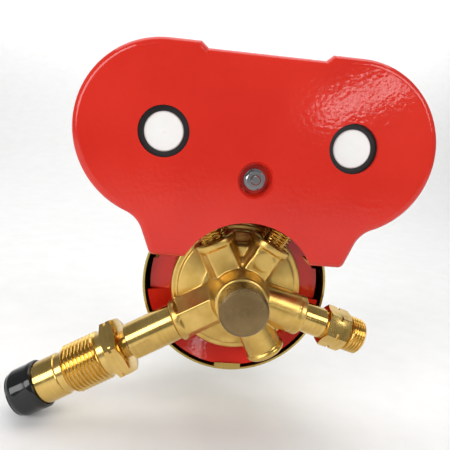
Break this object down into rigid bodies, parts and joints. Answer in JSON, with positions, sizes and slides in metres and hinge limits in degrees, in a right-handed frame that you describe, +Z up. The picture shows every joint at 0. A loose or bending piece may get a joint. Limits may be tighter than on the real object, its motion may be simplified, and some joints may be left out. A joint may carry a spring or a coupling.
{
  "type": "gas regulator",
  "caption": "Brass gas pressure regulator with two gauges in a red sheet-metal guard, swivel inlet nut, threaded outlet and adjusting knob.",
  "frame": {"origin": "on the inlet nut's axis, at the outer end of its full thread, where a cylinder valve holds the regulator", "axes": "+Y along the body's axis towards the adjusting knob, +Z up towards the gauges, +X towards the outlet seen from the back; the inlet points down and to -X at 210 degrees"},
  "size_m": [0.1756, 0.1088, 0.1696],
  "materials": {
    "forged_brass": "satin forged brass, machined faces brighter",
    "turned_brass": "bright turned brass",
    "turned_bronze": "fine lathe-turned face, darker",
    "sintered_bronze": "sintered, matt",
    "spring_steel": "oiled spring wire",
    "zinc_steel": "bright zinc plate",
    "gasket_rubber": "matt",
    "diaphragm_rubber": "matt, fabric reinforced",
    "black_vinyl": "glossy moulded vinyl",
    "knob_plastic": "fine moulded texture",
    "knob_cap": "smooth red insert",
    "red_enamel": "glossy red enamel with light orange peel",
    "shroud_sheet": "yellow passivated steel sheet",
    "black_case": "black enamel",
    "bezel_steel": "bright plated steel",
    "clear_lens": "clear polycarbonate",
    "dial_face": "white printed dial",
    "pointer_black": "matt black",
    "white_disc": "satin white"
  },
  "bodies": {
    "root": {"body": "forged_brass", "rear_plug": "turned_bronze", "rear_plug_gasket": "gasket_rubber", "seat_nozzle": "turned_brass", "valve_spring": "spring_steel", "diaphragm": "diaphragm_rubber", "bonnet": "forged_brass", "adjusting_spring": "spring_steel", "shroud": "shroud_sheet", "guard_bracket": "red_enamel", "guard_stud": "zinc_steel", "guard": "red_enamel", "guard_washer": "zinc_steel", "guard_nut": "zinc_steel", "inlet_stem": "turned_brass", "inlet_nipple": "turned_brass", "nose_oring": "gasket_rubber", "inlet_filter": "sintered_bronze", "outlet_fitting": "turned_brass", "left_case": "black_case", "left_bezel": "bezel_steel", "left_lens": "clear_lens", "left_dial": "dial_face", "left_dial_screws": "zinc_steel", "left_movement": "turned_brass", "left_bourdon_tube": "turned_bronze", "left_socket": "turned_brass", "left_blowout_disc": "white_disc", "right_case": "black_case", "right_bezel": "bezel_steel", "right_lens": "clear_lens", "right_dial": "dial_face", "right_dial_screws": "zinc_steel", "right_movement": "turned_brass", "right_bourdon_tube": "turned_bronze", "right_socket": "turned_brass", "right_blowout_disc": "white_disc"},
    "poppet": {"valve_poppet": "turned_brass"},
    "diaphragm_centre": {"diaphragm_plate": "turned_brass"},
    "spring_button": {"spring_button": "zinc_steel"},
    "adjuster": {"adjusting_screw": "zinc_steel", "knob": "knob_plastic", "knob_grub_screw": "zinc_steel", "knob_cap": "knob_cap"},
    "inlet_nut": {"inlet_nut": "turned_brass"},
    "inlet_cap": {"inlet_cap": "black_vinyl"},
    "left_needle": {"left_pointer": "pointer_black", "left_pinion": "turned_brass"},
    "right_needle": {"right_pointer": "pointer_black", "right_pinion": "turned_brass"},
    "left_sector": {"left_sector": "turned_brass"},
    "right_sector": {"right_sector": "turned_brass"}
  },
  "joints": [
    {"name": "knob_turn", "type": "hinge", "parent": "spring_button", "child": "adjuster", "pos_m": [0.07257, 0.05685, 0.0419], "axis": [0, -1, 0], "range_deg": [0, 1800]},
    {"name": "screw_travel", "type": "slide", "parent": "root", "child": "spring_button", "axis": [0, -1, 0], "range_m": [0, 0.00875], "deforming": ["adjusting_spring"]},
    {"name": "diaphragm_travel", "type": "slide", "parent": "root", "child": "diaphragm_centre", "axis": [0, -1, 0], "range_m": [0, 0.0008], "deforming": ["diaphragm"]},
    {"name": "poppet_lift", "type": "slide", "parent": "root", "child": "poppet", "axis": [0, -1, 0], "range_m": [0, 0.0008], "deforming": ["valve_spring"]},
    {"name": "inlet_nut_spin", "type": "hinge", "parent": "root", "child": "inlet_nut", "pos_m": [0, 0, 0], "axis": [-0.866, 0, -0.5], "continuous": true},
    {"name": "inlet_cap_pull", "type": "slide", "parent": "root", "child": "inlet_cap", "axis": [-0.866, 0, -0.5], "range_m": [0, 0.02]},
    {"name": "left_pointer_turn", "type": "hinge", "parent": "root", "child": "left_needle", "pos_m": [0.03476, 0, 0.11126], "axis": [0, -1, 0], "range_deg": [0, 270], "stiffness_Nm_per_rad": 0.0005},
    {"name": "left_sector_turn", "type": "hinge", "parent": "root", "child": "left_sector", "pos_m": [0.04064, 0, 0.10046], "axis": [0, -1, 0], "range_deg": [-54, 0]},
    {"name": "right_pointer_turn", "type": "hinge", "parent": "root", "child": "right_needle", "pos_m": [0.11039, 0, 0.11126], "axis": [0, -1, 0], "range_deg": [0, 270], "stiffness_Nm_per_rad": 0.0005},
    {"name": "right_sector_turn", "type": "hinge", "parent": "root", "child": "right_sector", "pos_m": [0.1045, 0, 0.10046], "axis": [0, -1, 0], "range_deg": [-54, 0]}
  ],
  "couplings": [
    {"joint": "knob_turn", "follows": "screw_travel", "rad_per_m": 3590},
    {"joint": "diaphragm_travel", "follows": "screw_travel", "ratio": 0.091419},
    {"joint": "poppet_lift", "follows": "screw_travel", "ratio": 0.091419},
    {"joint": "left_sector_turn", "follows": "left_pointer_turn", "ratio": -0.2},
    {"joint": "right_sector_turn", "follows": "right_pointer_turn", "ratio": -0.2}
  ]
}
